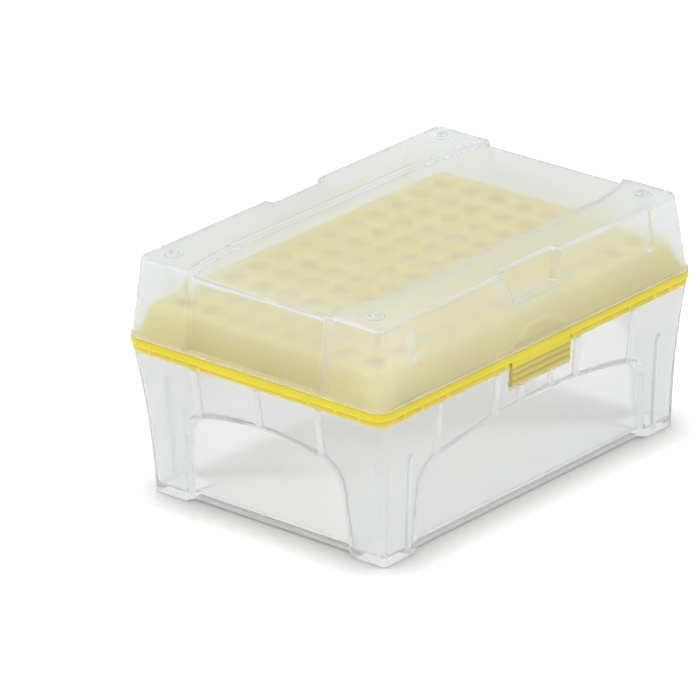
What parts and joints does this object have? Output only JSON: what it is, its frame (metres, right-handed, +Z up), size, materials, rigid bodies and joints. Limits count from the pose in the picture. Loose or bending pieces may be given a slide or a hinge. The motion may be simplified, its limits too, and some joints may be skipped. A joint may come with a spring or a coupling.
{
  "type": "pipette tip box",
  "caption": "Empty hinged laboratory box for pipette tips: clear base, yellow tray with a grid of holes and frosted lid.",
  "frame": {"origin": "middle of the box's footprint, hinge included, on the surface that the feet stand on", "axes": "+X along the long side, +Y towards the hinge (the latch tab faces -Y), +Z up"},
  "size_m": [0.122, 0.0906, 0.0648],
  "materials": {
    "clear_plastic": "clear moulded polypropylene, lightly hazy",
    "yellow_plastic": "yellow moulded polypropylene, satin",
    "frosted_plastic": "frosted moulded polypropylene with a polished window"
  },
  "bodies": {
    "base": {"base_box": "clear_plastic", "tip_tray": "yellow_plastic"},
    "lid": {"lid": "frosted_plastic"}
  },
  "joints": [
    {"name": "lid_hinge", "type": "hinge", "parent": "base", "child": "lid", "pos_m": [0, 0.043, 0.042], "axis": [-1, 0, 0], "range_deg": [0, 110]}
  ]
}
